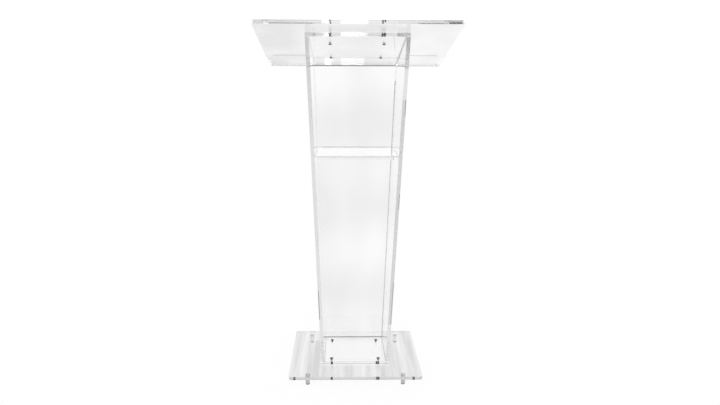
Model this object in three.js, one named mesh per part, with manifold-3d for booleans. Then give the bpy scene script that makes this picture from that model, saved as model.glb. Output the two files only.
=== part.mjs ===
// Presentation lectern of clear acrylic sheet, in millimetres, +Z up.
// Origin: on the floor, under the centre of the base plate. +X is across the width,
// -Y is the open side of the column and +Y is the speaker's side, where the book lip is.
// The top, the column and the base are flat sheet parts. Four screws hold the top to the
// column's cap and four hold the column's foot plate to the base. Nothing on it moves.

import * as THREE from "three";
import { mergeVertices } from "three/addons/utils/BufferGeometryUtils.js";
import Module from "manifold-3d";

// ---- driving dimensions ----

const SHEET = 12; // thickness of every sheet part
const GAP = 0.3; // clearance left at a joint between two pieces
const CORNER_R = 10; // plan radius of the plate corners

const FOOT_R = 7.5;
const FOOT_HEIGHT = 30;
const FOOT_X = 166; // feet lie at plus and minus this
const FOOT_Y = 140;

const BASE_WIDTH = 460;
const BASE_DEPTH = 330;

// The column tapers downwards on all of its three walls.
const FLOOR_TO_COLUMN = FOOT_HEIGHT + 2 * SHEET; // underside of the walls
const PLATE_HALF_WIDTH = 122; // foot plate, a little wider than the walls that stand on it
const HALF_WIDTH_LOW = 120.5;
const HALF_WIDTH_HIGH = 158;
const OPEN_EDGE_LOW = -86; // y of the walls' open edges at the foot plate
const OPEN_EDGE_HIGH = -137.5; // and at the cap
const BACK_LOW = 101; // y of the back panel's outer face at the foot plate
const BACK_HIGH = 142.5; // and at the cap

const SHELF_TOP = 796;

// The reading surface slopes down towards +Y from its high edge.
const TOP_TILT = THREE.MathUtils.degToRad(15);
const TOP_WIDTH = 610;
const TOP_LENGTH = 388; // along the slope, without the lip
const TOP_EDGE_Z = 1196; // high edge of the upper face

const LIP_RISE = 35; // height above the reading surface
const LIP_CORNER_R = 12;
const LIP_HEEL_R = 3; // its lower corners

// The top with its lip is centred over the base: from the lower corner of the high edge
// to the upper corner of the lip.
const TOP_REACH = (TOP_LENGTH + GAP + SHEET) * Math.cos(TOP_TILT);
const TOP_EDGE_Y = -(TOP_REACH + (LIP_RISE - SHEET) * Math.sin(TOP_TILT)) / 2;

const CAP_START = 67; // distance down the slope from the high edge
const CAP_LENGTH = 290;

// M6 countersunk screws with hexagon sockets, flush with the first sheet
const SCREW_R = 3;
const SCREW_BITE = 9; // depth of thread held in the second sheet
const HEAD_R = 6;
const HEAD_RIM = 0.4; // straight part of the head's edge
const SOCKET_ACROSS_FLATS = 4;
const SOCKET_DEPTH = 2.4;
const TIP_CHAMFER = 0.8;
const SCREW_X = 84; // screws lie at plus and minus this
const FOOT_SCREW_Y = [-64, 69];
const CAP_SCREW_SLOPE = [134, 268]; // distance down the slope from the high edge

const CIRCLE_SEGMENTS = 32;

// ---- materials ----

function clearAcrylic() {
  return new THREE.MeshStandardMaterial({ color: 0xeef2f3, roughness: 0.05, metalness: 0 });
}

function castRod() {
  return new THREE.MeshStandardMaterial({ color: 0xdde2e4, roughness: 0.08, metalness: 0 });
}

function stainlessSteel() {
  return new THREE.MeshStandardMaterial({ color: 0x8d9094, roughness: 0.3, metalness: 1 });
}

// ---- booleans ----

const wasm = await Module();
wasm.setup();

function toManifold(geometry) {
  const plain = geometry.clone();
  plain.deleteAttribute("normal");
  plain.deleteAttribute("uv");
  const merged = mergeVertices(plain);
  const vertProperties = new Float32Array(merged.attributes.position.array);
  const triVerts = new Uint32Array(merged.index.array);
  return new wasm.Manifold(new wasm.Mesh({ numProp: 3, vertProperties, triVerts }));
}

function toGeometry(solid) {
  const mesh = solid.getMesh();
  const geometry = new THREE.BufferGeometry();
  geometry.setAttribute("position", new THREE.BufferAttribute(mesh.vertProperties, 3));
  geometry.setIndex(new THREE.BufferAttribute(mesh.triVerts, 1));
  geometry.computeVertexNormals();
  return geometry;
}

function cut(geometry, tools) {
  let solid = toManifold(geometry);
  for (const tool of tools) {
    solid = solid.subtract(toManifold(tool));
  }
  return toGeometry(solid);
}

// ---- helpers ----

// A rectangle with its own radius at each corner, counter-clockwise from the low x, low y one.
function roundedRectangle(x0, y0, x1, y1, radii) {
  const [r00, r10, r11, r01] = radii;
  const quarter = Math.PI / 2;
  const shape = new THREE.Shape();
  const corners = [
    [x0 + r00, y0 + r00, r00, 2 * quarter],
    [x1 - r10, y0 + r10, r10, 3 * quarter],
    [x1 - r11, y1 - r11, r11, 0],
    [x0 + r01, y1 - r01, r01, quarter],
  ];
  shape.moveTo(x0, y0 + r00);
  for (const [cx, cy, radius, start] of corners) {
    if (radius > 0) {
      shape.absarc(cx, cy, radius, start, start + quarter, false);
    } else {
      shape.lineTo(cx, cy);
    }
  }
  return shape;
}

function sheetFrom(shape) {
  return new THREE.ExtrudeGeometry(shape, { depth: SHEET, bevelEnabled: false, curveSegments: 10 });
}

// A solid turned about the z axis, from [radius, z] points that start and end on the axis.
function turned(points) {
  const profile = points.map(([radius, z]) => new THREE.Vector2(radius, z));
  const geometry = new THREE.LatheGeometry(profile, CIRCLE_SEGMENTS);
  geometry.rotateX(Math.PI / 2);
  return geometry;
}

// An upright drill at (x, y) for a tapped hole, from z0 to z1.
function drill(x, y, z0, z1) {
  const radius = SCREW_R + GAP;
  const tool = turned([[0, z0], [radius, z0], [radius, z1], [0, z1]]);
  tool.translate(x, y, 0);
  return tool;
}

// A drill at (x, y) for a hole right through a sheet, countersunk on the side that faces
// away from the second sheet. The mouth is at z and the hole runs along direction (-1 or 1).
function countersink(x, y, z, direction) {
  const radius = SCREW_R + GAP;
  const mouthR = HEAD_R + GAP;
  const tool = turned([
    [0, -SHEET - 1],
    [radius, -SHEET - 1],
    [radius, radius - mouthR - HEAD_RIM],
    [mouthR, -HEAD_RIM],
    [mouthR, 1],
    [0, 1],
  ]);
  if (direction > 0) {
    tool.rotateX(Math.PI);
  }
  tool.translate(x, y, z);
  return tool;
}

// A block with six flat sides whose eight corners are given by corner(sx, sy, sz), each
// argument being -1 or 1.
function blockFrom(corner) {
  const geometry = new THREE.BoxGeometry(2, 2, 2);
  const position = geometry.attributes.position;
  for (let i = 0; i < position.count; i += 1) {
    const [x, y, z] = corner(position.getX(i), position.getY(i), position.getZ(i));
    position.setXYZ(i, x, y, z);
  }
  geometry.computeVertexNormals();
  return geometry;
}

// The four places of a screw pattern, as [place name, x, place along the depth].
function pattern([front, back]) {
  return [
    ["front_left", -SCREW_X, front],
    ["front_right", SCREW_X, front],
    ["back_left", -SCREW_X, back],
    ["back_right", SCREW_X, back],
  ];
}

const lectern = new THREE.Group();

function add(parent, name, geometry, material) {
  const mesh = new THREE.Mesh(geometry, material);
  mesh.name = name;
  parent.add(mesh);
  return mesh;
}

// ---- the column's planes ----

// Height of the walls' top cut, which runs parallel to the reading surface under the cap.
function wallTop(y) {
  const drop = (2 * SHEET + 2 * GAP) / Math.cos(TOP_TILT);
  return TOP_EDGE_Z - (y - TOP_EDGE_Y) * Math.tan(TOP_TILT) - drop;
}

const OPEN_RISE = wallTop(OPEN_EDGE_HIGH) - FLOOR_TO_COLUMN;
const BACK_RISE = wallTop(BACK_HIGH) - FLOOR_TO_COLUMN;

const SIDE_SLOPE = (HALF_WIDTH_HIGH - HALF_WIDTH_LOW) / OPEN_RISE;
const OPEN_SLOPE = (OPEN_EDGE_HIGH - OPEN_EDGE_LOW) / OPEN_RISE;
const BACK_SLOPE = (BACK_HIGH - BACK_LOW) / BACK_RISE;

// Thickness of a leaning sheet, measured level.
const SIDE_LEVEL = SHEET * Math.hypot(1, SIDE_SLOPE);
const BACK_LEVEL = SHEET * Math.hypot(1, BACK_SLOPE);

function outerX(z) {
  return HALF_WIDTH_LOW + SIDE_SLOPE * (z - FLOOR_TO_COLUMN);
}

function innerX(z) {
  return outerX(z) - SIDE_LEVEL;
}

function openY(z) {
  return OPEN_EDGE_LOW + OPEN_SLOPE * (z - FLOOR_TO_COLUMN);
}

function backOuterY(z) {
  return BACK_LOW + BACK_SLOPE * (z - FLOOR_TO_COLUMN);
}

function backInnerY(z) {
  return backOuterY(z) - BACK_LEVEL;
}

// Where a wall's edge line y(z) = low + slope * (z - floor) meets the top cut.
function topOfEdge(low, slope) {
  const tangent = Math.tan(TOP_TILT);
  return (wallTop(low) + tangent * slope * FLOOR_TO_COLUMN) / (1 + tangent * slope);
}

// ---- base ----

function basePlate() {
  const shape = roundedRectangle(
    -BASE_WIDTH / 2,
    -BASE_DEPTH / 2,
    BASE_WIDTH / 2,
    BASE_DEPTH / 2,
    [CORNER_R, CORNER_R, CORNER_R, CORNER_R],
  );
  const geometry = sheetFrom(shape);
  geometry.translate(0, 0, FOOT_HEIGHT);
  const top = FOOT_HEIGHT + SHEET;
  const drills = pattern(FOOT_SCREW_Y).map(([, x, y]) => drill(x, y, top - SCREW_BITE - GAP, top + 1));
  return cut(geometry, drills);
}

function foot(x, y) {
  const geometry = new THREE.CylinderGeometry(FOOT_R, FOOT_R, FOOT_HEIGHT, CIRCLE_SEGMENTS);
  geometry.rotateX(Math.PI / 2);
  geometry.translate(x, y, FOOT_HEIGHT / 2);
  return geometry;
}

function footPlate() {
  const shape = roundedRectangle(-PLATE_HALF_WIDTH, OPEN_EDGE_LOW, PLATE_HALF_WIDTH, BACK_LOW, [0, 0, 0, 0]);
  const geometry = sheetFrom(shape);
  const bottom = FOOT_HEIGHT + SHEET;
  geometry.translate(0, 0, bottom);
  const drills = pattern(FOOT_SCREW_Y).map(([, x, y]) => countersink(x, y, bottom + SHEET, -1));
  return cut(geometry, drills);
}

// ---- column ----

function sidePanel(side) {
  const farLow = BACK_LOW - BACK_LEVEL - GAP;
  const openTop = topOfEdge(OPEN_EDGE_LOW, OPEN_SLOPE);
  const farTop = topOfEdge(farLow, BACK_SLOPE);
  return blockFrom((sx, sy, sz) => {
    const top = sy < 0 ? openTop : farTop;
    const z = sz < 0 ? FLOOR_TO_COLUMN : top;
    const y = sy < 0 ? openY(z) : backInnerY(z) - GAP;
    const x = sx === side ? outerX(z) : innerX(z);
    return [side * x, y, z];
  });
}

function backPanel() {
  const outerTop = topOfEdge(BACK_LOW, BACK_SLOPE);
  const innerTop = topOfEdge(BACK_LOW - BACK_LEVEL, BACK_SLOPE);
  return blockFrom((sx, sy, sz) => {
    const top = sy < 0 ? innerTop : outerTop;
    const z = sz < 0 ? FLOOR_TO_COLUMN : top;
    const y = sy < 0 ? backInnerY(z) : backOuterY(z);
    return [sx * outerX(z), y, z];
  });
}

function shelf() {
  return blockFrom((sx, sy, sz) => {
    const z = sz < 0 ? SHELF_TOP - SHEET : SHELF_TOP;
    const y = sy < 0 ? openY(z) : backInnerY(z) - GAP;
    return [sx * (innerX(z) - GAP), y, z];
  });
}

// ---- top, drawn flat with its upper face at z = 0 and its high edge at y = 0 ----

function readingSurface() {
  const half = TOP_WIDTH / 2;
  const shape = roundedRectangle(-half, 0, half, TOP_LENGTH, [CORNER_R, CORNER_R, 0, 0]);
  const geometry = sheetFrom(shape);
  geometry.translate(0, 0, -SHEET);
  const places = pattern(CAP_SCREW_SLOPE);
  const drills = places.map(([, x, y]) => drill(x, y, -SHEET - 1, -SHEET + SCREW_BITE + GAP));
  return cut(geometry, drills);
}

function bookLip() {
  const half = TOP_WIDTH / 2;
  const corners = [LIP_HEEL_R, LIP_HEEL_R, LIP_CORNER_R, LIP_CORNER_R];
  const shape = roundedRectangle(-half, -SHEET, half, LIP_RISE, corners);
  const geometry = sheetFrom(shape);
  geometry.rotateX(Math.PI / 2);
  geometry.translate(0, TOP_LENGTH + GAP + SHEET, 0);
  return geometry;
}

function columnCap() {
  const shape = roundedRectangle(
    -HALF_WIDTH_HIGH,
    CAP_START,
    HALF_WIDTH_HIGH,
    CAP_START + CAP_LENGTH,
    [0, 0, 0, 0],
  );
  const geometry = sheetFrom(shape);
  const bottom = -2 * SHEET - GAP;
  geometry.translate(0, 0, bottom);
  const places = pattern(CAP_SCREW_SLOPE);
  const drills = places.map(([, x, y]) => countersink(x, y, bottom, 1));
  return cut(geometry, drills);
}

// ---- screws ----

// A screw along z: the top of its head is at z = 0 and its tip at -length.
function screw(length) {
  const body = turned([
    [0, -length],
    [SCREW_R - TIP_CHAMFER, -length],
    [SCREW_R, -length + TIP_CHAMFER],
    [SCREW_R, SCREW_R - HEAD_R - HEAD_RIM],
    [HEAD_R, -HEAD_RIM],
    [HEAD_R, 0],
    [0, 0],
  ]);
  const socketR = SOCKET_ACROSS_FLATS / Math.sqrt(3);
  const socket = new THREE.CylinderGeometry(socketR, socketR, 2 * SOCKET_DEPTH, 6);
  socket.rotateX(Math.PI / 2);
  return cut(body, [socket]);
}

// ---- assembly ----

add(lectern, "base_plate", basePlate(), clearAcrylic());
for (const [row, y] of [["front", -FOOT_Y], ["back", FOOT_Y]]) {
  add(lectern, `foot_${row}_left`, foot(-FOOT_X, y), castRod());
  add(lectern, `foot_${row}_right`, foot(FOOT_X, y), castRod());
}
add(lectern, "foot_plate", footPlate(), clearAcrylic());
add(lectern, "side_panel_left", sidePanel(-1), clearAcrylic());
add(lectern, "side_panel_right", sidePanel(1), clearAcrylic());
add(lectern, "back_panel", backPanel(), clearAcrylic());
add(lectern, "shelf", shelf(), clearAcrylic());

const shankLength = SHEET + SCREW_BITE;
for (const [place, x, y] of pattern(FOOT_SCREW_Y)) {
  const mesh = add(lectern, `base_screw_${place}`, screw(shankLength), stainlessSteel());
  mesh.position.set(x, y, FLOOR_TO_COLUMN);
}

const top = new THREE.Group();
top.position.set(0, TOP_EDGE_Y, TOP_EDGE_Z);
top.rotation.x = -TOP_TILT;
lectern.add(top);
add(top, "reading_surface", readingSurface(), clearAcrylic());
add(top, "book_lip", bookLip(), clearAcrylic());
add(top, "column_cap", columnCap(), clearAcrylic());
for (const [place, x, y] of pattern(CAP_SCREW_SLOPE)) {
  const mesh = add(top, `cap_screw_${place}`, screw(shankLength), stainlessSteel());
  mesh.rotation.x = Math.PI;
  mesh.position.set(x, y, -2 * SHEET - GAP);
}

export default lectern;
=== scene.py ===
"""Presentation lectern of clear acrylic sheet, on a white studio floor. Everything is in metres."""

import math

import bpy
from mathutils import Matrix, Vector


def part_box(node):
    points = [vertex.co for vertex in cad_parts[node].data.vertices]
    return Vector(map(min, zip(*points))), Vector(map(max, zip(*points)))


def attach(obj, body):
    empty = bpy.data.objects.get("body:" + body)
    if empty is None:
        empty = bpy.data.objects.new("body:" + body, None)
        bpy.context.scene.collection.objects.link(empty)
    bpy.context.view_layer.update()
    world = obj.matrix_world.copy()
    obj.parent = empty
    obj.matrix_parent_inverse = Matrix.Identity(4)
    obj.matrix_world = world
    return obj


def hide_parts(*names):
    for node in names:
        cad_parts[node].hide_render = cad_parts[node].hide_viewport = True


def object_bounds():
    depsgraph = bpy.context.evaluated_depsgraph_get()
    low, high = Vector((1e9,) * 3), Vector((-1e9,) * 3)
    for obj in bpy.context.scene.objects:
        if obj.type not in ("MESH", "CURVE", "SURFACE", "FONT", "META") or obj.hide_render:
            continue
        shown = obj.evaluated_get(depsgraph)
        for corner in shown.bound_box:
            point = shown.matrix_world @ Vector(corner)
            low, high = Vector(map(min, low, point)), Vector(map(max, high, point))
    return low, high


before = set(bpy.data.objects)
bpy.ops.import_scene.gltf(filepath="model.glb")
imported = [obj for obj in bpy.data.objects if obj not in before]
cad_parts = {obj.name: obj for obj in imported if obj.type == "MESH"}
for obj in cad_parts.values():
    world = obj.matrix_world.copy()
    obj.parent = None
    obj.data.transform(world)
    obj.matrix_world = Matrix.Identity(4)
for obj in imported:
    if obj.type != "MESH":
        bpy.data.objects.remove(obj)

MM = 0.001
CAD_LOW, CAD_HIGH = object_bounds()

# ---- what the frame holds ----

TOP_TILT = math.radians(15)
TOP_NORMAL = Vector((0, math.sin(TOP_TILT), math.cos(TOP_TILT)))
DOWNHILL = Vector((0, math.cos(TOP_TILT), -math.sin(TOP_TILT)))
TOP_LENGTH = 388 * MM
CAP_START = 67 * MM
LIP_RISE = 35 * MM
CORNER_R = 10 * MM

PLATE_LOW, PLATE_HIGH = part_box("foot_plate")
COLUMN_FOOT = PLATE_HIGH.z  # underside of the walls
SHEET = PLATE_HIGH.z - PLATE_LOW.z
PLATE_FRONT, PLATE_BACK = PLATE_LOW.y, PLATE_HIGH.y
SIDE_LOW, SIDE_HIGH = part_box("side_panel_right")
BACK_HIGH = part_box("back_panel")[1]
INSIDE_X = SIDE_LOW.x  # inner faces of the side panels, at the foot
COLUMN_X = INSIDE_X + SHEET  # and their outer faces
INSIDE_Y = PLATE_BACK - SHEET  # inner face of the back panel, at the foot
TOP_EDGE = Vector((0, CAD_LOW.y + SHEET * math.sin(TOP_TILT), CAD_HIGH.z))  # high edge, upper face

SIDE_LEAN = (SIDE_HIGH.x - COLUMN_X) / (SIDE_HIGH.z - COLUMN_FOOT)
BACK_LEAN = (BACK_HIGH.y - PLATE_BACK) / (BACK_HIGH.z - SHEET * math.tan(TOP_TILT) - COLUMN_FOOT)

LEVEL = Vector((0, 0, 1))
SHEETS = {  # each with the direction across its thickness
    "base_plate": LEVEL,
    "foot_plate": LEVEL,
    "shelf": LEVEL,
    "side_panel_left": Vector((1, 0, 0)),
    "side_panel_right": Vector((1, 0, 0)),
    "back_panel": Vector((0, 1, 0)),
    "column_cap": TOP_NORMAL,
    "reading_surface": TOP_NORMAL,
    "book_lip": DOWNHILL,
}

FOOT_LOW, FOOT_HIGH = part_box("foot_back_right")
FOOT_X, FOOT_Y = (FOOT_LOW.x + FOOT_HIGH.x) / 2, (FOOT_LOW.y + FOOT_HIGH.y) / 2
FOOT_R, FOOT_HEIGHT = (FOOT_HIGH.x - FOOT_LOW.x) / 2, FOOT_HIGH.z
SHELF_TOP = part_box("shelf")[1].z

# Centres of the screws, as in the CAD.
SCREW_X = 84 * MM
BASE_SCREW_Y = (-64 * MM, 69 * MM)
CAP_SCREW_SLOPE = (134 * MM, 268 * MM)  # down the slope from the high edge
CAP_SCREW_TOP = -24.3 * MM  # the heads' flat faces, measured from the reading face

ARRIS = 0.5 * MM  # small chamfer on every sheet's edges
CLEARANCE = 0.03 * MM  # air film between sheets that rest on each other
WELD = 0.01 * MM  # joins the CAD mesh's triangles into one skin
ARRIS_OVER = math.radians(35)  # edges sharper than this get the chamfer

# ---- camera, at the photograph's viewing angle ----

CAMERA_PLACE = Vector((-0.048, -1.7105, 1.0172))
CAMERA_PITCH = math.radians(13.19)
CAMERA_TURN = math.radians(0.63)
CAMERA_ROLL = math.radians(0.15)
CAMERA_LENS = 25.23  # millimetres
CAMERA_SENSOR = 36
CAMERA_SHIFT = 0.018


def add_camera():
    data = bpy.data.cameras.new("camera")
    data.lens = CAMERA_LENS
    data.sensor_width = CAMERA_SENSOR
    data.shift_x = CAMERA_SHIFT
    data.clip_start = 0.01
    data.clip_end = 100
    camera = bpy.data.objects.new("camera", data)
    camera.location = CAMERA_PLACE
    turn = Matrix.Rotation(-CAMERA_TURN, 4, "Z")
    pitch = Matrix.Rotation(math.pi / 2 - CAMERA_PITCH, 4, "X")
    roll = Matrix.Rotation(CAMERA_ROLL, 4, "Z")
    camera.rotation_euler = (turn @ pitch @ roll).to_euler()
    bpy.context.collection.objects.link(camera)
    bpy.context.scene.camera = camera


# ---- small helpers for node materials ----

NOISE_DETAIL = 2.0
NOISE_LOW, NOISE_HIGH = 0.3, 0.7  # nearly all of a noise's values lie between these


def new_material(name):
    material = bpy.data.materials.new(name)
    material.use_nodes = True
    tree = material.node_tree
    tree.nodes.clear()
    return material, tree, tree.nodes.new("ShaderNodeOutputMaterial")


def feed(tree, socket, value):
    if isinstance(value, bpy.types.NodeSocket):
        tree.links.new(value, socket)
    else:
        socket.default_value = value


def math_node(tree, operation, first, second=0.0):
    node = tree.nodes.new("ShaderNodeMath")
    node.operation = operation
    feed(tree, node.inputs[0], first)
    feed(tree, node.inputs[1], second)
    return node.outputs["Value"]


def vector_node(tree, operation, first, second=(0, 0, 0)):
    node = tree.nodes.new("ShaderNodeVectorMath")
    node.operation = operation
    feed(tree, node.inputs[0], first)
    feed(tree, node.inputs[1], second)
    return node.outputs["Value" if operation in ("DOT_PRODUCT", "DISTANCE") else "Vector"]


def noise(tree, vector, scale, stretch=(1, 1, 1)):
    node = tree.nodes.new("ShaderNodeTexNoise")
    node.inputs["Scale"].default_value = scale
    node.inputs["Detail"].default_value = NOISE_DETAIL
    tree.links.new(vector_node(tree, "MULTIPLY", vector, stretch), node.inputs["Vector"])
    return node.outputs["Fac"]


def remap(tree, value, low, high, to_low, to_high):
    node = tree.nodes.new("ShaderNodeMapRange")
    numbers = {"From Min": low, "From Max": high, "To Min": to_low, "To Max": to_high}
    for name, number in numbers.items():
        node.inputs[name].default_value = number
    tree.links.new(value, node.inputs["Value"])
    return node.outputs["Result"]


def ramp(tree, value, stops):
    node = tree.nodes.new("ShaderNodeValToRGB")
    elements = node.color_ramp.elements
    while len(elements) < len(stops):
        elements.new(0.5)
    for element, (stop, colour) in zip(elements, stops):
        element.position = stop
        element.color = (*colour, 1)
    tree.links.new(value, node.inputs["Fac"])
    return node.outputs["Color"]


def grey_ramp(tree, pattern, dull, bright):
    """Dull where the noise is low and bright where it is high."""
    return ramp(tree, pattern, [(NOISE_LOW, (dull,) * 3), (NOISE_HIGH, (bright,) * 3)])


def mix_colours(tree, share, first, second):
    node = tree.nodes.new("ShaderNodeMix")
    node.data_type = "RGBA"
    feed(tree, node.inputs["Factor"], share)
    feed(tree, node.inputs["A"], first)
    feed(tree, node.inputs["B"], second)
    return node.outputs["Result"]


def mix_shaders(tree, share, first, second):
    node = tree.nodes.new("ShaderNodeMixShader")
    feed(tree, node.inputs[0], share)
    tree.links.new(first, node.inputs[1])
    tree.links.new(second, node.inputs[2])
    return node.outputs["Shader"]


# ---- where the sheets meet ----

# Each measure is a distance along a direction, plus an offset. Where it starts with True, points
# are first mirrored to the right and the rear. "across" and "depth" follow the lean of the walls,
# and the last measure is the distance from the axis of the nearest foot.
MEASURES = {
    "height": (False, LEVEL, 0.0),
    "sideways": (False, Vector((1, 0, 0)), 0.0),
    "from_middle": (True, Vector((1, 0, 0)), 0.0),
    "across": (True, Vector((1, 0, -SIDE_LEAN)), SIDE_LEAN * COLUMN_FOOT),
    "depth": (False, Vector((0, 1, -BACK_LEAN)), BACK_LEAN * COLUMN_FOOT),
    "above": (False, TOP_NORMAL, -TOP_NORMAL.dot(TOP_EDGE)),
    "downhill": (False, DOWNHILL, -DOWNHILL.dot(TOP_EDGE)),
    "from_foot": (True, None, Vector((FOOT_X, FOOT_Y, 0))),
}
NEAR = 0.45 * MM  # reaches past the gap at a joint
UNDER_SIDES = [("across", INSIDE_X, 1), ("depth", -1, INSIDE_Y)]
BETWEEN_CORNERS = ("from_middle", -1, CAD_HIGH.x - CORNER_R)
BEHIND_SHELF_FRONT = ("depth", PLATE_FRONT, 1)
UNDER_CAP = ("above", -2 * SHEET - 2 * NEAR, 1)  # the walls' upper ends, which meet the cap

# Windows are lists of measures with their low and high ends. The first ones are the cemented
# joints, which are clear right through.
SIDE_PANEL_JOINTS = [
    [("height", 0, COLUMN_FOOT + NEAR)],
    [UNDER_CAP],
    [("depth", INSIDE_Y - NEAR - ARRIS, 1)],
    [("across", 0, INSIDE_X + NEAR), ("height", SHELF_TOP - SHEET, SHELF_TOP), BEHIND_SHELF_FRONT],
]
SCREW_ROOM = 8 * MM  # to each side of a screw's axis


def screw_holes(along, centres, between_faces):
    """Windows on the walls of the holes, so that the screws show through the sheets' edges."""
    beside = ("from_middle", SCREW_X - SCREW_ROOM, SCREW_X + SCREW_ROOM)
    return [[beside, (along, y - SCREW_ROOM, y + SCREW_ROOM), between_faces] for y in centres]


JOINTS = {
    "base_plate": [
        [("height", 0, FOOT_HEIGHT + NEAR), ("from_foot", -1, FOOT_R)],
        *screw_holes("depth", BASE_SCREW_Y, ("height", FOOT_HEIGHT + NEAR, FOOT_HEIGHT + SHEET - NEAR)),
    ],
    "foot_plate": [
        [("height", COLUMN_FOOT - NEAR, 1), *UNDER_SIDES],
        *screw_holes("depth", BASE_SCREW_Y, ("height", PLATE_LOW.z + NEAR, PLATE_HIGH.z - NEAR)),
    ],
    "shelf": [[("depth", INSIDE_Y - NEAR - ARRIS, 1)], [("across", INSIDE_X - NEAR, 1)]],
    "side_panel_left": SIDE_PANEL_JOINTS,
    "side_panel_right": SIDE_PANEL_JOINTS,
    "back_panel": [
        [("depth", 0, INSIDE_Y + NEAR), ("across", INSIDE_X, 1)],
        [("depth", 0, INSIDE_Y + NEAR), ("height", SHELF_TOP - SHEET, SHELF_TOP)],
    ],
    "column_cap": [
        [("above", -1, NEAR - 2 * SHEET), *UNDER_SIDES],
        *screw_holes("downhill", CAP_SCREW_SLOPE, ("above", NEAR - 2 * SHEET, -SHEET - 2 * NEAR)),
    ],
    "reading_surface": [[("downhill", TOP_LENGTH - NEAR, 1), BETWEEN_CORNERS]],
    "book_lip": [[("downhill", 0, TOP_LENGTH + NEAR), ("above", -1, 0), BETWEEN_CORNERS]],
}

FOOT_JOINTS = [[("height", FOOT_HEIGHT - NEAR, 1)]]

# Faces in the column's footprint and behind it, painted lighter there as painted light.
PAINTED_LIGHT_UNDER_COLUMN = {"base_plate": [[("across", -1, COLUMN_X), ("depth", PLATE_FRONT, 1)]]}

# Ends that were sawn and left unpolished, and a bead of cement along the back panel's right joint,
# darkened there as painted shade, with their greys.
LEFT, RIGHT = ("sideways", -1, 0), ("sideways", 0, 1)
BEAD_WIDTH = 1.2 * MM
BEAD_TOP = 1.03
BEAD_WITH_PAINTED_SHADE = [
    ("depth", 0, INSIDE_Y + NEAR),
    ("across", INSIDE_X - BEAD_WIDTH, INSIDE_X),
    ("height", 0, BEAD_TOP),
]
SAWN = {
    "back_panel": [
        ([[("height", 0, COLUMN_FOOT + NEAR), ("across", -1, INSIDE_X)]], 0.95),
        ([[UNDER_CAP, ("across", -1, INSIDE_X)]], 0.42),
        # cement bead on the right joint only, darkened as painted shade
        ([[*BEAD_WITH_PAINTED_SHADE, RIGHT]], 0.66),
    ],
    "book_lip": [([[("above", -1, NEAR - SHEET)]], 0.82)],
}

# Darker bands on the edges, with their tints. Those on the reading surface's front edge are painted
# reflections. Later ones cover earlier ones.
TOP_FRONT = ("downhill", -1, NEAR)
CAP_FRONT = ("downhill", -1, CAP_START + NEAR)
LOWER_HALF = ("above", -1, -SHEET / 2)
LOWER_ARRIS = ("above", -1, 3 * MM - SHEET)
BASE_REAR = ("depth", 164 * MM, 1)  # the base's rear edge is at 165 mm
SHELF_FRONT = ("depth", -1, PLATE_FRONT)
OUTER_ARRIS = ("across", COLUMN_X - 3.5 * MM, 1)
MARKS = {
    "base_plate": [([[BASE_REAR]], 0.6)],
    "foot_plate": [([[("depth", -1, PLATE_FRONT + NEAR), ("height", 0, COLUMN_FOOT - SHEET / 2)]], 0.62)],
    "shelf": [([[SHELF_FRONT, ("height", SHELF_TOP - 5 * MM, 1)]], 0.5)],
    "side_panel_left": [([[OUTER_ARRIS, ("height", 0.22, 0.33)]], 0.2)],
    "side_panel_right": [
        ([[("height", 0, 0.2)]], 0.72),
        ([[("height", 0.97, 1.06)]], 0.72),
        (
            [
                [OUTER_ARRIS, ("height", 0.2, 0.36)],
                [OUTER_ARRIS, ("height", 0.62, 0.67)],
                [OUTER_ARRIS, ("height", 0.92, 0.97)],
            ],
            0.22,
        ),
    ],
    "column_cap": [
        ([[CAP_FRONT, ("from_middle", 0.125, 1), LEFT]], 0.5),
        ([[CAP_FRONT, ("from_middle", 0.118, 1), RIGHT]], 0.35),
    ],
    # painted reflections: dark bands along the front edge's lower arris and at its right end
    "reading_surface": [
        ([[TOP_FRONT, LOWER_ARRIS, ("sideways", -0.13, -0.08)]], 0.5),
        (
            [
                [TOP_FRONT, LOWER_ARRIS, ("sideways", -0.255, -0.13)],
                [TOP_FRONT, LOWER_ARRIS, ("sideways", 0.17, 0.245)],
            ],
            0.16,
        ),
        ([[TOP_FRONT, ("sideways", 0.257, 0.299)]], 0.33),
        ([[TOP_FRONT, LOWER_HALF, ("sideways", 0.26, 0.295)]], 0.04),
    ],
}

# Edges that grow darker: where, by which measure, where that starts and ends, and the last tint.
DARKER_EDGES = {
    "reading_surface": ([[TOP_FRONT]], "from_middle", 0.06, 0.22, 0.55),
    "side_panel_left": ([], "height", 0.78, 1.16, 0.44),
    "side_panel_right": ([], "height", 1.06, 1.13, 0.24),
}

# Lines on the faces, with their tints: a painted shadow of the left side panel on the base, the
# lip's upper edge, and cement that has run out along the joints.
CEMENT = ("across", INSIDE_X - 2 * MM, INSIDE_X)
OVER_SHELF = ("height", SHELF_TOP, SHELF_TOP + MM)
LINES = {
    # painted shadow of the left side panel, a dark band on the base
    "base_plate": ([[("sideways", -0.15, -0.127), ("depth", -1, 0.09)]], 0.7),
    "back_panel": ([[OVER_SHELF, ("depth", -1, INSIDE_Y + NEAR)]], 0.45),
    "side_panel_left": ([[OVER_SHELF, ("across", -1, INSIDE_X + NEAR)]], 0.6),
    "side_panel_right": ([[OVER_SHELF, ("across", -1, INSIDE_X + NEAR)]], 0.6),
    "book_lip": ([[("above", LIP_RISE - 1.5 * MM, 1)]], 0.5),
    "foot_plate": ([[CEMENT, ("height", COLUMN_FOOT - NEAR, 1)]], 0.7),
    "column_cap": ([[CEMENT, ("above", -1, NEAR - 2 * SHEET), RIGHT]], 0.25),
}


def measure(tree, position, name):
    from_middle, direction, offset = MEASURES[name]
    if from_middle:
        position = vector_node(tree, "ABSOLUTE", position)
    if direction is None:
        return vector_node(tree, "DISTANCE", vector_node(tree, "MULTIPLY", position, (1, 1, 0)), offset)
    return math_node(tree, "ADD", vector_node(tree, "DOT_PRODUCT", position, direction), offset)


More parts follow.
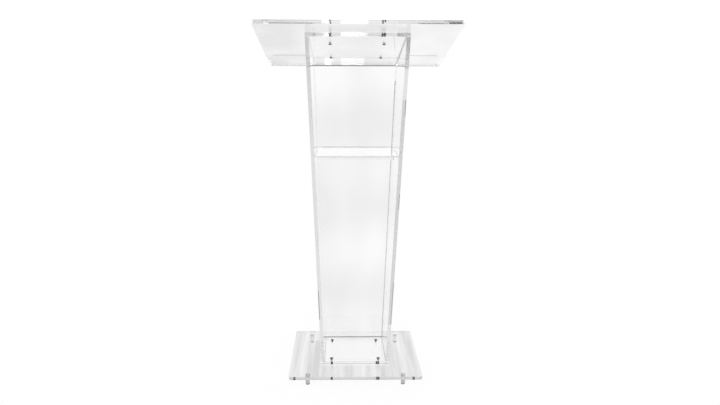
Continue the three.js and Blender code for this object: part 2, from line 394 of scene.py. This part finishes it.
def inside(tree, position, windows):
    """1 where a point lies in any of the windows, and 0 elsewhere."""
    result = 0.0
    for window in windows:
        share = 1.0
        for name, low, high in window:
            value = measure(tree, position, name)
            share = math_node(tree, "MULTIPLY", math_node(tree, "GREATER_THAN", value, low), share)
            share = math_node(tree, "MULTIPLY", math_node(tree, "LESS_THAN", value, high), share)
        result = math_node(tree, "MAXIMUM", share, result)
    return result


# ---- materials ----

ACRYLIC_IOR = 1.49

# Each sheet's faces, from their dullest to their clearest, and the middle tint of its edges. The base's
# faces are darkened as painted shade of the floor under it.
FACE_TINTS = {
    "base_plate": (0.72, 0.92),
    "foot_plate": (0.99, 1.0),
    "shelf": (0.99, 1.0),
    "side_panel_left": (0.95, 0.98),
    "side_panel_right": (0.95, 0.98),
    "back_panel": (0.85, 0.97),
    "column_cap": (0.99, 1.0),
    "reading_surface": (0.77, 0.97),
    "book_lip": (0.95, 0.97),
}
EDGE_TINTS = {
    "base_plate": 0.98,
    "foot_plate": 0.98,
    "shelf": 0.98,
    "side_panel_left": 0.72,
    "side_panel_right": 0.54,
    "back_panel": 0.80,
    "column_cap": 0.93,
    "reading_surface": 0.80,
    "book_lip": 0.95,
}
EDGE_SPREAD = 0.02
EDGE_ROUGHNESS = 0.01
EDGE_TURN = 0.5  # a facet is an edge when its normal has less than this share across the sheet
SAWN_ROUGHNESS = 0.7
ABSORPTION_COLOUR = (0.5, 0.51, 0.51)
ABSORPTION_DENSITY = 0.6  # per metre

# The wipe marks on the faces, stretched on the base into painted shadow streaks, and the saw's
# marks on the edges: how many to a metre, and how much closer they lie along each axis.
WIPES_AND_SHADOW_STREAKS = 5.0
SHADOW_STREAKS_ALONG = {"base_plate": (10.0, 0.5, 1.0)}
UPRIGHT = (1.0, 1.0, 0.35)
CUTS = 60.0
CUT_ALONG = {"side_panel_left": (2, 1, 0.1), "side_panel_right": (2, 1, 0.1), "back_panel": (1, 2, 0.1)}
LAID = (0.1, 0.1, 2)

PAINTED_SHADE_SLOPE = (0.5, 0.5, 0)  # painted shade on the reading surface, lighter towards the back right, per metre
REFLECTION_BAND_SPACING = 0.32  # of the painted reflection's bands up the back panel
REFLECTION_BAND_START = 0.09
REFLECTION_BAND_DEPTH = 0.12
LIGHTER_UP = 0.15  # the back panel grows lighter upwards, per metre


def grey(value):
    return (value, value, value, 1)


def acrylic_shader(tree):
    shader = tree.nodes.new("ShaderNodeBsdfPrincipled")
    shader.inputs["IOR"].default_value = ACRYLIC_IOR
    shader.inputs["Transmission Weight"].default_value = 1.0
    return shader


def join_to_output(tree, shader, joints, output):
    """The shader as the surface, but clear right through at the joints."""
    through = tree.nodes.new("ShaderNodeBsdfTransparent")
    surface = mix_shaders(tree, joints, shader.outputs["BSDF"], through.outputs["BSDF"])
    tree.links.new(surface, output.inputs["Surface"])


def face_tint(tree, node, position):
    dull, bright = FACE_TINTS[node]
    # Wipe marks. On the base the noise is stretched into painted shadow streaks.
    wipes_and_painted_shade = noise(tree, position, WIPES_AND_SHADOW_STREAKS, stretch=SHADOW_STREAKS_ALONG.get(node, UPRIGHT))
    # painted shade on the reading surface, lighter towards the back right
    if node == "reading_surface":
        painted_shade_gradient = vector_node(tree, "DOT_PRODUCT", position, PAINTED_SHADE_SLOPE)
        wipes_and_painted_shade = math_node(tree, "ADD", wipes_and_painted_shade, painted_shade_gradient)
    # painted reflection on the back panel: bands up the panel, and lighter towards the top
    if node == "back_panel":
        height = math_node(tree, "SUBTRACT", measure(tree, position, "height"), REFLECTION_BAND_START)
        turns = math_node(tree, "MULTIPLY", height, 2 * math.pi / REFLECTION_BAND_SPACING)
        painted_reflection_bands = math_node(tree, "MULTIPLY", math_node(tree, "COSINE", turns), REFLECTION_BAND_DEPTH)
        wipes_and_painted_shade = math_node(tree, "ADD", wipes_and_painted_shade, painted_reflection_bands)
        wipes_and_painted_shade = math_node(tree, "ADD", wipes_and_painted_shade, math_node(tree, "MULTIPLY", height, LIGHTER_UP))
        wipes_and_painted_shade = math_node(tree, "SUBTRACT", wipes_and_painted_shade, LIGHTER_UP * CAD_HIGH.z / 2)
    tint = grey_ramp(tree, wipes_and_painted_shade, dull, bright)
    # painted light: the base lighter in the column's footprint and behind it
    if node in PAINTED_LIGHT_UNDER_COLUMN:
        tint = mix_colours(tree, inside(tree, position, PAINTED_LIGHT_UNDER_COLUMN[node]), tint, grey(1.0))
    # lines, with the painted shadow of the left side panel on the base
    if node in LINES:
        windows, value = LINES[node]
        tint = mix_colours(tree, inside(tree, position, windows), tint, grey(value))
    return tint


def edge_tint(tree, node, position, cuts):
    tint = grey_ramp(tree, cuts, EDGE_TINTS[node] - EDGE_SPREAD, EDGE_TINTS[node] + EDGE_SPREAD)
    if node in DARKER_EDGES:
        windows, name, start, end, darkest = DARKER_EDGES[node]
        share = remap(tree, measure(tree, position, name), start, end, 0.0, 1.0)
        if windows:
            share = math_node(tree, "MULTIPLY", share, inside(tree, position, windows))
        tint = mix_colours(tree, share, tint, grey(darkest))
    for windows, value in MARKS.get(node, []):
        tint = mix_colours(tree, inside(tree, position, windows), tint, grey(value))
    return tint


def clear_acrylic(node, normal):
    """Cast acrylic: polished faces with faint wipe marks, painted shade and painted reflections, machined
    edges and cemented joints.
    """
    material, tree, output = new_material(node + "_acrylic")
    coordinates = tree.nodes.new("ShaderNodeTexCoord")
    position = coordinates.outputs["Object"]
    facing = math_node(
        tree, "ABSOLUTE", vector_node(tree, "DOT_PRODUCT", coordinates.outputs["Normal"], normal)
    )
    edge = math_node(tree, "LESS_THAN", facing, EDGE_TURN)
    cuts = noise(tree, position, CUTS, stretch=CUT_ALONG.get(node, LAID))
    tint = mix_colours(tree, edge, face_tint(tree, node, position), edge_tint(tree, node, position, cuts))
    cut_roughness = remap(tree, cuts, NOISE_LOW, NOISE_HIGH, 0.0, EDGE_ROUGHNESS)
    roughness = math_node(tree, "MULTIPLY", edge, cut_roughness)
    shader = acrylic_shader(tree)
    for windows, value in SAWN.get(node, []):
        sawn = inside(tree, position, windows)
        tint = mix_colours(tree, sawn, tint, grey(value))
    if node in SAWN:
        sawn = inside(tree, position, [window for windows, _ in SAWN[node] for window in windows])
        clear = math_node(tree, "SUBTRACT", 1.0, sawn)
        tree.links.new(clear, shader.inputs["Transmission Weight"])
        matt = math_node(tree, "MULTIPLY", sawn, SAWN_ROUGHNESS)
        roughness = math_node(tree, "MAXIMUM", roughness, matt)
    tree.links.new(tint, shader.inputs["Base Color"])
    tree.links.new(roughness, shader.inputs["Roughness"])
    joints = inside(tree, position, JOINTS[node])
    if node in SAWN:
        joints = math_node(tree, "MULTIPLY", joints, clear)
    join_to_output(tree, shader, joints, output)
    volume = tree.nodes.new("ShaderNodeVolumeAbsorption")
    volume.inputs["Color"].default_value = (*ABSORPTION_COLOUR, 1)
    volume.inputs["Density"].default_value = ABSORPTION_DENSITY
    tree.links.new(volume.outputs["Volume"], output.inputs["Volume"])
    return material


ROD_END = 3 * MM  # length of the duller part
ROD_ENDS = [[("height", -1, ROD_END)], [("height", FOOT_HEIGHT - ROD_END, 1)]]
# the front feet are painted darker than the back ones, as painted shade
ROD_TINTS_WITH_PAINTED_SHADE = {"front": (0.4, 0.54), "back": (0.78, 0.88)}
ROD_END_TINT = 0.42
ROD_ROUGHNESS = 0.04
LATHE_MARKS = 400.0  # to a metre
LATHE_ALONG = (0.1, 0.1, 1.0)


def rod_acrylic(side):
    """Clear rod, faintly grey, painted darker as shade for the front feet, with lathe marks on its side
    and duller ends.
    """
    material, tree, output = new_material("rod_acrylic_" + side)
    position = tree.nodes.new("ShaderNodeTexCoord").outputs["Object"]
    shader = acrylic_shader(tree)
    marks = noise(tree, position, LATHE_MARKS, stretch=LATHE_ALONG)
    tint = grey_ramp(tree, marks, *ROD_TINTS_WITH_PAINTED_SHADE[side])
    tint = mix_colours(tree, inside(tree, position, ROD_ENDS), tint, grey(ROD_END_TINT))
    tree.links.new(tint, shader.inputs["Base Color"])
    roughness = remap(tree, marks, NOISE_LOW, NOISE_HIGH, 0.0, ROD_ROUGHNESS)
    tree.links.new(roughness, shader.inputs["Roughness"])
    join_to_output(tree, shader, inside(tree, position, FOOT_JOINTS), output)
    return material


STEEL_DARK, STEEL_LIGHT = (0.10, 0.10, 0.105), (0.24, 0.24, 0.25)
STEEL_SMOOTH, STEEL_ROUGH = 0.28, 0.5
STEEL_GRAIN = 900.0  # to a metre


def screw_steel():
    """Dark steel with a fine grain."""
    material, tree, output = new_material("screw_steel")
    position = tree.nodes.new("ShaderNodeTexCoord").outputs["Object"]
    shader = tree.nodes.new("ShaderNodeBsdfPrincipled")
    shader.inputs["Metallic"].default_value = 1.0
    grain = noise(tree, position, STEEL_GRAIN)
    tint = ramp(tree, grain, [(NOISE_LOW, STEEL_DARK), (NOISE_HIGH, STEEL_LIGHT)])
    tree.links.new(tint, shader.inputs["Base Color"])
    roughness = remap(tree, grain, NOISE_LOW, NOISE_HIGH, STEEL_SMOOTH, STEEL_ROUGH)
    tree.links.new(roughness, shader.inputs["Roughness"])
    tree.links.new(shader.outputs["BSDF"], output.inputs["Surface"])
    return material


# ---- sheets: the CAD nodes with chamfered edges ----


def finish_sheet(node, normal):
    """The CAD mesh joined into one skin, clear of its neighbours, with flat faces and an arris."""
    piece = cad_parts[node]
    piece.data.materials.clear()
    piece.data.materials.append(clear_acrylic(node, normal))
    weld = piece.modifiers.new("weld", "WELD")
    weld.merge_threshold = WELD
    film = piece.modifiers.new("air film", "DISPLACE")
    film.strength = -CLEARANCE
    film.mid_level = 0.0
    chamfer = piece.modifiers.new("arris", "BEVEL")
    chamfer.width = ARRIS
    chamfer.segments = 1
    chamfer.limit_method = "ANGLE"
    chamfer.angle_limit = ARRIS_OVER
    flat = piece.modifiers.new("flat faces", "WEIGHTED_NORMAL")
    flat.weight = 100
    flat.keep_sharp = True


# ---- turned pieces: rings of points joined into a skin ----


def skin(name, rings, smooth_angle):
    """A closed mesh through rings of equal length, with a point in place of the first and last."""
    count = len(rings[1])
    points = [rings[0]]
    for points_around in rings[1:-1]:
        points.extend(points_around)
    points.append(rings[-1])
    faces = []
    for i in range(count):
        faces.append((0, 1 + (i + 1) % count, 1 + i))
    for row in range(len(rings) - 3):
        start = 1 + row * count
        for i in range(count):
            j = (i + 1) % count
            faces.append((start + i, start + j, start + count + j, start + count + i))
    start = 1 + (len(rings) - 3) * count
    for i in range(count):
        faces.append((start + i, start + (i + 1) % count, len(points) - 1))
    mesh = bpy.data.meshes.new(name)
    mesh.from_pydata(points, [], faces)
    mesh.polygons.foreach_set("use_smooth", [True] * len(mesh.polygons))
    mesh.set_sharp_from_angle(angle=smooth_angle)
    mesh.validate()
    return mesh


def ring(radius_at, z, count):
    """Points at one height. The radius is a number, or a function of the angle."""
    points = []
    for i in range(count):
        angle = 2 * math.pi * i / count
        radius = radius_at(angle) if callable(radius_at) else radius_at
        points.append((radius * math.cos(angle), radius * math.sin(angle), z))
    return points


# ---- feet ----

FOOT_SIDES = 64
FOOT_RIM = 0.6 * MM
FOOT_RIM_BELLY = 0.3 * FOOT_RIM  # rounds the rim
FOOT_SMOOTH = math.radians(30)


def foot_mesh():
    top = FOOT_HEIGHT - CLEARANCE
    rings = [(0, 0, 0)]
    for inset, z in ((FOOT_RIM, 0), (FOOT_RIM_BELLY, FOOT_RIM_BELLY), (0, FOOT_RIM)):
        rings.append(ring(FOOT_R - inset, z, FOOT_SIDES))
    for inset, z in ((0, top - FOOT_RIM), (FOOT_RIM_BELLY, top - FOOT_RIM_BELLY), (FOOT_RIM, top)):
        rings.append(ring(FOOT_R - inset, z, FOOT_SIDES))
    rings.append((0, 0, top))
    return skin("foot", rings, FOOT_SMOOTH)


# ---- screws: countersunk, hexagon socket, with a rolled M6 thread ----

SCREW_SIDES = 24
SCREW_LENGTH = 21 * MM
SCREW_R = 3 * MM
HEAD_R = 6 * MM
HEAD_RIM = 0.4 * MM
HEAD_ROUNDING = 0.15 * MM
SOCKET_ACROSS_FLATS = 4 * MM
SOCKET_DEPTH = 2.4 * MM
SOCKET_POINT = 0.4 * MM  # of the drill, below the flats
SOCKET_BEVEL = 0.2 * MM
PITCH = 1 * MM
THREAD_DEPTH = 0.6 * MM
THREAD_START = 4.6 * MM
THREAD_STEEPNESS = 2.6
THREAD_ROOT_FLAT = 0.15
ROWS_PER_TURN = 5
TIP_CHAMFER = 0.8 * MM
SCREW_SMOOTH = math.radians(40)


def hexagon(angle, grow=0.0):
    """Distance from the axis to the socket's wall."""
    from_flat = (angle % (math.pi / 3)) - math.pi / 6
    return (SOCKET_ACROSS_FLATS / 2 + grow) / math.cos(from_flat)


def thread_radius(angle, depth):
    """Radius of the shank at a point on it: a helix, faded in below the head and cut at the tip."""
    turn = (depth / PITCH + angle / (2 * math.pi)) % 1.0
    crest = min(max((0.5 - abs(turn - 0.5)) * THREAD_STEEPNESS - THREAD_ROOT_FLAT, 0.0), 1.0)
    run_out = min(max((depth - THREAD_START) / PITCH, 0.0), 1.0)
    root = SCREW_R - THREAD_DEPTH * (1 - crest) * run_out
    tip = SCREW_R - max(depth - (SCREW_LENGTH - TIP_CHAMFER), 0.0)
    return min(root, tip)


def screw_mesh():
    rings = [(0, 0, -SOCKET_DEPTH - SOCKET_POINT)]
    rings.append(ring(hexagon, -SOCKET_DEPTH, SCREW_SIDES))
    rings.append(ring(hexagon, -SOCKET_BEVEL, SCREW_SIDES))
    rings.append(ring(lambda angle: hexagon(angle, SOCKET_BEVEL), 0, SCREW_SIDES))
    rings.append(ring(HEAD_R - HEAD_ROUNDING, 0, SCREW_SIDES))
    rings.append(ring(HEAD_R, -HEAD_ROUNDING, SCREW_SIDES))
    rings.append(ring(HEAD_R, -HEAD_RIM, SCREW_SIDES))
    rings.append(ring(SCREW_R, -HEAD_RIM - (HEAD_R - SCREW_R), SCREW_SIDES))
    step = PITCH / ROWS_PER_TURN
    rows = int((SCREW_LENGTH - THREAD_START) / step)
    for row in range(rows + 1):
        depth = THREAD_START + row * step
        rings.append(ring(lambda angle: thread_radius(angle, depth), -depth, SCREW_SIDES))
    rings.append((0, 0, -SCREW_LENGTH))
    return skin("screw", rings, SCREW_SMOOTH)


# ---- placing the turned pieces ----


def place(name, mesh, matrix, node):
    piece = bpy.data.objects.new(name, mesh)
    piece.matrix_world = matrix
    bpy.context.collection.objects.link(piece)
    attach(piece, "root")
    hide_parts(node)


def corners(x, front, back):
    return {
        "front_left": (-x, front),
        "front_right": (x, front),
        "back_left": (-x, back),
        "back_right": (x, back),
    }


def add_feet():
    for side, y in (("front", -FOOT_Y), ("back", FOOT_Y)):
        mesh = foot_mesh()
        mesh.materials.append(rod_acrylic(side))
        for hand, x in (("left", -FOOT_X), ("right", FOOT_X)):
            node = "foot_" + side + "_" + hand
            place(node + "_rod", mesh, Matrix.Translation((x, y, 0)), node)


def add_screws():
    mesh = screw_mesh()
    mesh.materials.append(screw_steel())
    for where, (x, y) in corners(SCREW_X, *BASE_SCREW_Y).items():
        node = "base_screw_" + where
        place(node + "_m6", mesh, Matrix.Translation((x, y, COLUMN_FOOT)), node)
    upward = Matrix.Rotation(math.pi - TOP_TILT, 4, "X")
    for where, (x, slope) in corners(SCREW_X, *CAP_SCREW_SLOPE).items():
        node = "cap_screw_" + where
        centre = TOP_EDGE + slope * DOWNHILL + CAP_SCREW_TOP * TOP_NORMAL + Vector((x, 0, 0))
        place(node + "_m6", mesh, Matrix.Translation(centre) @ upward, node)


# ---- studio ----

# Brightness of the studio by elevation in degrees, for the side behind the lectern, the
# camera's side, the left and the right.
STUDIO = {  # each side's direction, then (elevation, brightness)
    (0, 1): [(0, 1.0), (6, 1.0), (7, 1.2), (9, 1.2), (12, 1.0), (30, 0.92), (55, 0.7), (90, 0.8)],
    (0, -1): [(0, 1.0), (12, 1.0), (18, 0.4), (26, 0.5), (34, 1.0), (60, 1.1), (90, 0.8)],
    (-1, 0): [(0, 1.0), (12, 1.0), (22, 0.45), (50, 0.6), (90, 0.8)],
    (1, 0): [(0, 1.0), (12, 1.0), (22, 0.7), (50, 0.7), (90, 0.8)],
}
BRIGHTEST = 2.0  # above every level in the studio, as a colour ramp stops at 1
FLOOR_WHITE = 1.0
FLOOR_ALBEDO = 0.07


def level_at(stops, elevation):
    for (low, low_level), (high, high_level) in zip(stops, stops[1:]):
        if elevation <= high:
            return low_level + (high_level - low_level) * (elevation - low) / (high - low)
    return stops[-1][1]


def floor_light():
    """What a level white floor would return of the studio's light."""
    total = 0.0
    for degree in range(90):
        middle = math.radians(degree + 0.5)
        mean = sum(level_at(stops, degree + 0.5) for stops in STUDIO.values()) / len(STUDIO)
        total += mean * 2 * math.sin(middle) * math.cos(middle) * math.radians(1)
    return total


def add_world():
    world = bpy.data.worlds.new("studio")
    world.use_nodes = True
    tree = world.node_tree
    tree.nodes.clear()
    output = tree.nodes.new("ShaderNodeOutputWorld")
    direction = tree.nodes.new("ShaderNodeTexCoord").outputs["Generated"]
    level = vector_node(tree, "MULTIPLY", direction, (1, 1, 0))
    compass = vector_node(tree, "NORMALIZE", level)
    upward = math_node(tree, "ARCSINE", vector_node(tree, "DOT_PRODUCT", direction, (0, 0, 1)))
    elevation = math_node(tree, "DIVIDE", upward, math.pi / 2)
    total = 0.0
    for (x, y), stops in STUDIO.items():
        towards = math_node(tree, "MAXIMUM", vector_node(tree, "DOT_PRODUCT", compass, (x, y, 0)))
        share = math_node(tree, "MULTIPLY", towards, towards)
        greys = [(degrees / 90, (value / BRIGHTEST,) * 3) for degrees, value in stops]
        glow = vector_node(tree, "DOT_PRODUCT", ramp(tree, elevation, greys), (BRIGHTEST, 0, 0))
        total = math_node(tree, "ADD", math_node(tree, "MULTIPLY", share, glow), total)
    background = tree.nodes.new("ShaderNodeBackground")
    background.inputs["Color"].default_value = (1, 1, 1, 1)
    tree.links.new(total, background.inputs["Strength"])
    tree.links.new(background.outputs["Background"], output.inputs["Surface"])
    bpy.context.scene.world = world


# Two softboxes above and behind the camera, mirrored in the top's edges. Each has its middle x
# and its width.
SOFTBOXES = {"softbox_left": (-0.18, 0.07), "softbox_right": (0.06, 0.235)}
SOFTBOX_Y, SOFTBOX_Z = -2.6, 2.98
SOFTBOX_TALL = 0.35
SOFTBOX_GLOW = 6.0


def add_softboxes():
    for name, (x, wide) in SOFTBOXES.items():
        data = bpy.data.lights.new(name, "AREA")
        data.shape = "RECTANGLE"
        data.size = wide
        data.size_y = SOFTBOX_TALL
        data.energy = SOFTBOX_GLOW * math.pi * wide * SOFTBOX_TALL
        lamp = bpy.data.objects.new(name, data)
        lamp.location = (x, SOFTBOX_Y, SOFTBOX_Z)
        towards_top = TOP_EDGE - lamp.location
        lamp.rotation_euler = towards_top.to_track_quat("-Z", "Y").to_euler()
        bpy.context.collection.objects.link(lamp)


FLOOR_HALF = 60.0
FLOOR_DROP = 0.2 * MM  # keeps the floor clear of the feet


def add_floor():
    mesh = bpy.data.meshes.new("floor")
    signs = [(-1, -1), (1, -1), (1, 1), (-1, 1)]
    floor_z = CAD_LOW.z - FLOOR_DROP
    mesh.from_pydata([(x * FLOOR_HALF, y * FLOOR_HALF, floor_z) for x, y in signs], [], [(0, 1, 2, 3)])
    floor = bpy.data.objects.new("floor", mesh)
    bpy.context.collection.objects.link(floor)
    material, tree, output = new_material("floor_paint")
    paint = tree.nodes.new("ShaderNodeBsdfDiffuse")
    paint.inputs["Color"].default_value = (FLOOR_ALBEDO, FLOOR_ALBEDO, FLOOR_ALBEDO, 1)
    glow = tree.nodes.new("ShaderNodeEmission")
    glow.inputs["Strength"].default_value = FLOOR_WHITE - FLOOR_ALBEDO * floor_light()
    both = tree.nodes.new("ShaderNodeAddShader")
    tree.links.new(paint.outputs["BSDF"], both.inputs[0])
    tree.links.new(glow.outputs["Emission"], both.inputs[1])
    tree.links.new(both.outputs["Shader"], output.inputs["Surface"])
    mesh.materials.append(material)


def set_light_paths():
    scene = bpy.context.scene
    scene.view_settings.view_transform = "Standard"
    cycles = scene.cycles
    cycles.max_bounces = 40
    cycles.transmission_bounces = 40
    cycles.transparent_max_bounces = 40
    cycles.glossy_bounces = 24
    cycles.diffuse_bounces = 3


add_camera()
for node, normal in SHEETS.items():
    finish_sheet(node, normal)
add_feet()
add_screws()
add_floor()
add_world()
add_softboxes()
set_light_paths()
